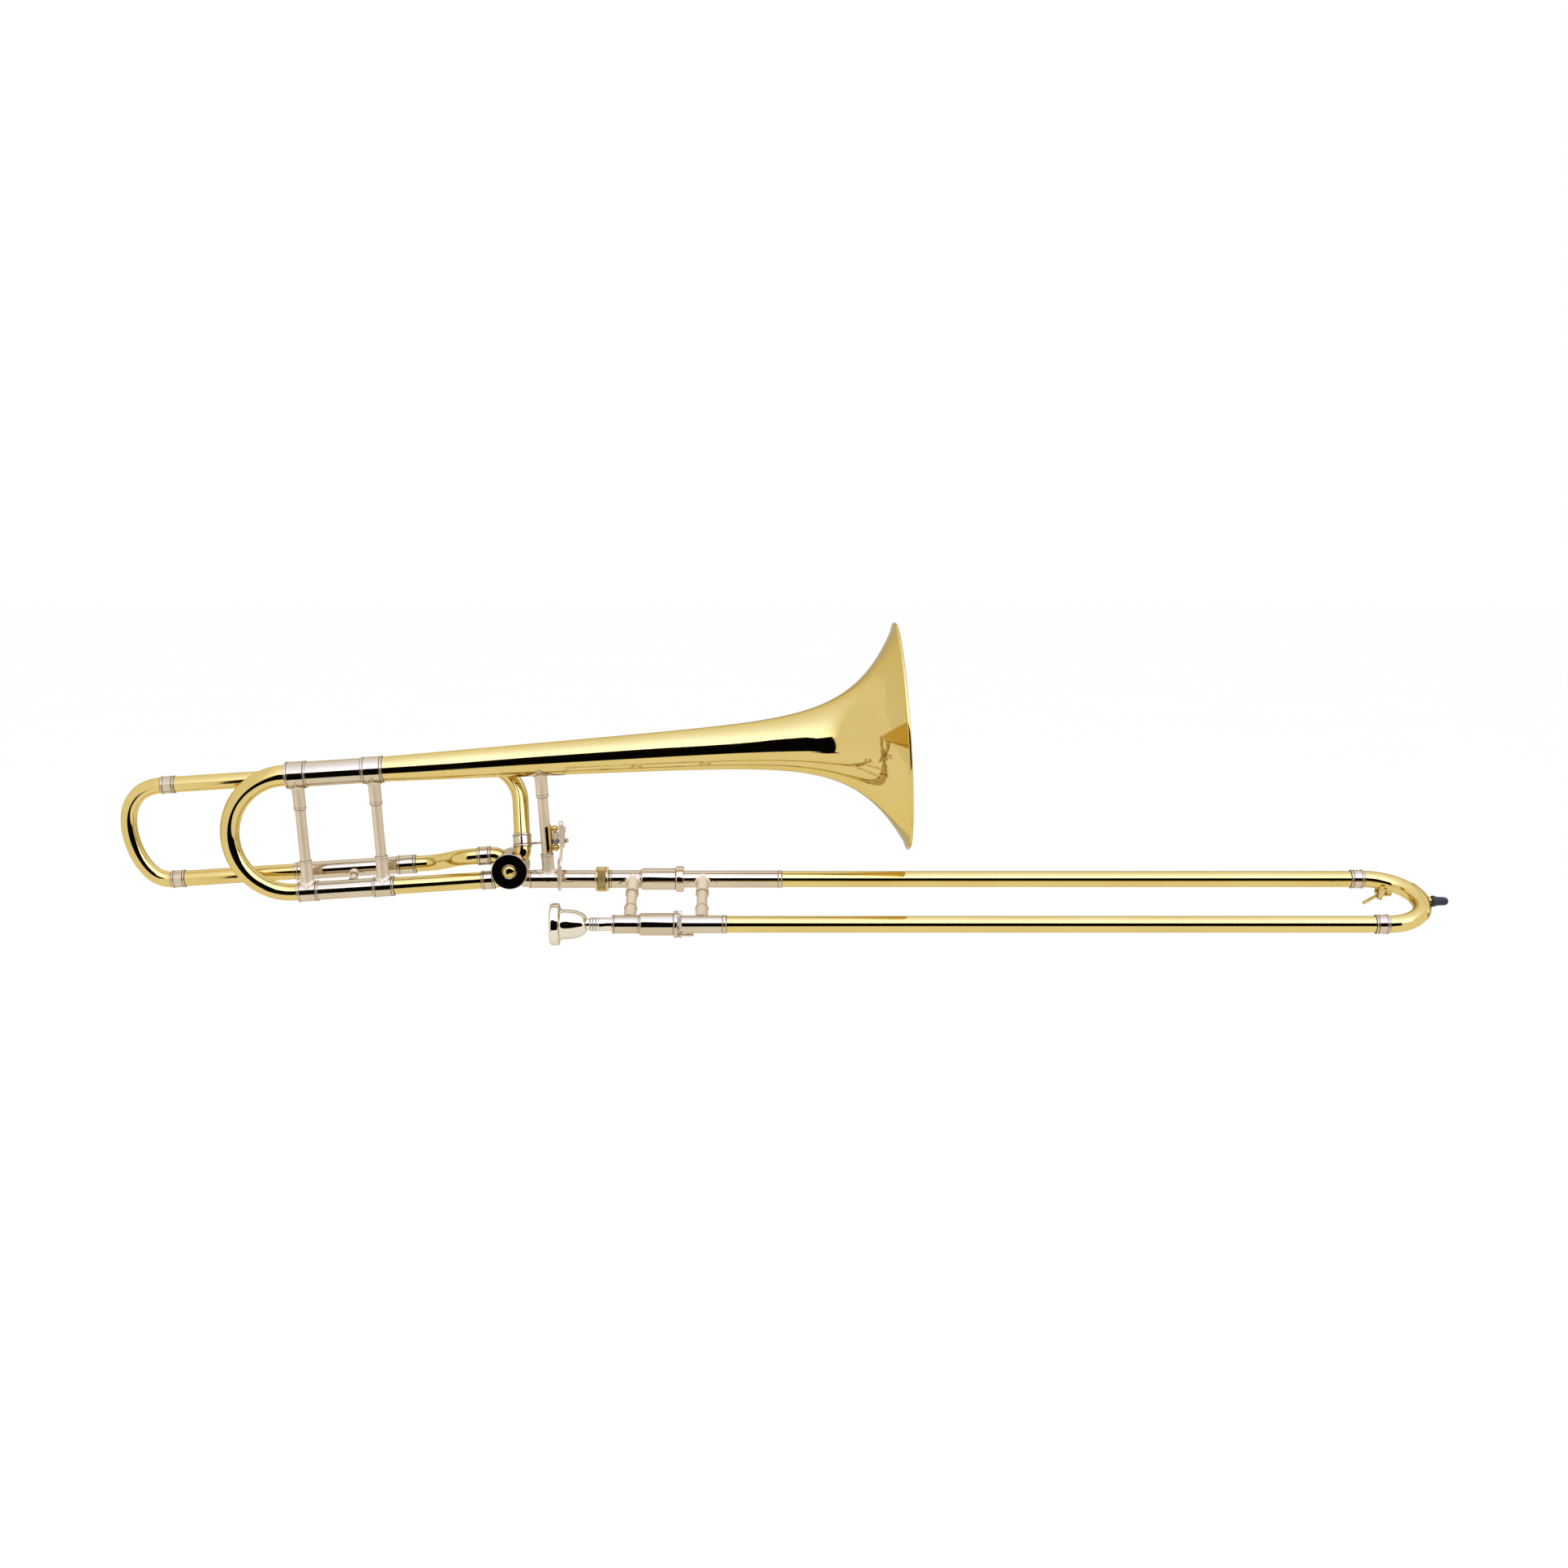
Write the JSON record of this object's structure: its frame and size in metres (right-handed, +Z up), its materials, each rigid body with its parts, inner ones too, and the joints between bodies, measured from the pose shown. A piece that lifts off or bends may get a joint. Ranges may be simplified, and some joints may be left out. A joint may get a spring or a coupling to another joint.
{
  "type": "trombone",
  "caption": "Tenor trombone with an open-wrap rotary valve attachment, thumb lever, tuning slides, hand slide with water key and cup mouthpiece.",
  "frame": {"origin": "centre of the slide lock nut, on the shared axis of neckpipe and upper slide leg, where the left hand holds the instrument", "axes": "+X along the slide towards its bow, +Y to the player's left, +Z up towards the bell"},
  "size_m": [1.2703, 0.216, 0.2911],
  "materials": {
    "lacquered_brass": "polished and clear lacquered yellow brass",
    "nickel_silver": "polished nickel silver under clear lacquer",
    "silver_plate": "silver plate, polished",
    "knurled_brass": "knurled brass, darker in the grooves",
    "rotor_brass": "machined and lapped brass",
    "spring_wire": "drawn spring wire",
    "black_rubber": "moulded black rubber",
    "cork": "natural cork rings"
  },
  "bodies": {
    "bell_section": {"bell_flare": "lacquered_brass", "bell_stem": "lacquered_brass", "fixed_ferrules": "nickel_silver", "upper_tuning_sleeve": "nickel_silver", "lower_tuning_sleeve": "nickel_silver", "fixed_tuning_brace": "nickel_silver", "lower_main_tube": "lacquered_brass", "valve_ferrules": "nickel_silver", "valve_casing": "nickel_silver", "front_bearing_plate": "nickel_silver", "valve_cap": "nickel_silver", "cap_button": "lacquered_brass", "stop_bumpers": "black_rubber", "neckpipe": "nickel_silver", "bell_brace": "nickel_silver", "f_sleeves": "nickel_silver", "f_sleeve_ferrules": "nickel_silver", "f_s_bend": "lacquered_brass", "f_upper_tube": "lacquered_brass", "f_strut": "nickel_silver", "trigger_saddle": "lacquered_brass", "trigger_pivot_pin": "lacquered_brass", "trigger_spring": "spring_wire"},
    "main_tuning_slide": {"main_crook": "lacquered_brass", "crook_ferrules": "nickel_silver", "tuning_inner_legs": "nickel_silver", "moving_tuning_brace": "nickel_silver"},
    "f_tuning_slide": {"f_crook": "lacquered_brass", "f_crook_ferrules": "nickel_silver", "f_slide_legs": "lacquered_brass", "f_inner_legs": "nickel_silver"},
    "valve_rotor": {"rotor": "rotor_brass", "stop_arm": "nickel_silver"},
    "thumb_lever": {"trigger_lever": "nickel_silver"},
    "valve_link": {"trigger_link": "nickel_silver"},
    "inner_slide": {"slide_tenon": "nickel_silver", "mouthpiece_receiver": "nickel_silver", "upper_cork_barrel": "nickel_silver", "lower_cork_barrel": "nickel_silver", "upper_inner_tube": "nickel_silver", "lower_inner_tube": "nickel_silver", "hand_brace": "nickel_silver", "barrel_corks": "cork"},
    "slide_lock_nut": {"lock_nut": "knurled_brass"},
    "cup_mouthpiece": {"mouthpiece": "silver_plate"},
    "lock_ring": {"slide_lock_ring": "nickel_silver"},
    "outer_slide": {"upper_outer_tube": "lacquered_brass", "lower_outer_tube": "lacquered_brass", "upper_oversleeve": "nickel_silver", "lower_oversleeve": "nickel_silver", "outer_brace": "nickel_silver", "slide_bow": "lacquered_brass", "bow_ferrules": "nickel_silver", "bow_guard": "lacquered_brass", "bumper_stem": "lacquered_brass", "bumper_tip": "black_rubber", "lock_stud": "nickel_silver", "water_key_saddle": "lacquered_brass", "water_key_spring": "spring_wire"},
    "water_key_lever": {"water_key": "lacquered_brass"}
  },
  "joints": [
    {"name": "rotor_turn", "type": "hinge", "parent": "bell_section", "child": "valve_rotor", "pos_m": [-0.087, 0, 0.0116], "axis": [0, -1, 0], "range_deg": [0, 90]},
    {"name": "thumb_lever_press", "type": "hinge", "parent": "bell_section", "child": "thumb_lever", "pos_m": [-0.04444, 0, 0.03944], "axis": [-0.0645, 0, 0.9979], "range_deg": [0, 25], "stiffness_Nm_per_rad": 0.12, "springref_deg": -34.38},
    {"name": "link_swing", "type": "hinge", "parent": "valve_rotor", "child": "valve_link", "pos_m": [-0.08172, 0, 0.01761], "axis": [0, -1, 0], "range_deg": [-90, 0]},
    {"name": "main_tuning", "type": "slide", "parent": "bell_section", "child": "main_tuning_slide", "axis": [-0.9979, 0, -0.0645], "range_m": [0, 0.04]},
    {"name": "f_tuning", "type": "slide", "parent": "bell_section", "child": "f_tuning_slide", "axis": [-0.9979, 0, -0.0645], "range_m": [0, 0.07]},
    {"name": "slide_angle", "type": "hinge", "parent": "bell_section", "child": "inner_slide", "pos_m": [0, 0, 0], "axis": [1, 0, 0], "range_deg": [-20, 20]},
    {"name": "lock_nut_turn", "type": "hinge", "parent": "inner_slide", "child": "slide_lock_nut", "pos_m": [0, 0, 0], "axis": [1, 0, 0], "continuous": true},
    {"name": "mouthpiece_pull", "type": "slide", "parent": "inner_slide", "child": "cup_mouthpiece", "axis": [-1, 0, 0], "range_m": [0, 0.06]},
    {"name": "lock_ring_turn", "type": "hinge", "parent": "inner_slide", "child": "lock_ring", "pos_m": [0, -0.08029, -0.0247], "axis": [1, 0, 0], "range_deg": [0, 19]},
    {"name": "hand_slide", "type": "slide", "parent": "inner_slide", "child": "outer_slide", "axis": [1, 0, 0], "range_m": [0, 0.6]},
    {"name": "water_key_press", "type": "hinge", "parent": "outer_slide", "child": "water_key_lever", "pos_m": [0.74709, -0.00344, -0.01466], "axis": [0, 0.9558, 0.294], "range_deg": [0, 15], "stiffness_Nm_per_rad": 0.02, "springref_deg": -28.65}
  ],
  "couplings": [
    {"joint": "thumb_lever_press", "follows": "rotor_turn", "ratio": 0.27778},
    {"joint": "link_swing", "follows": "rotor_turn", "ratio": -1}
  ]
}
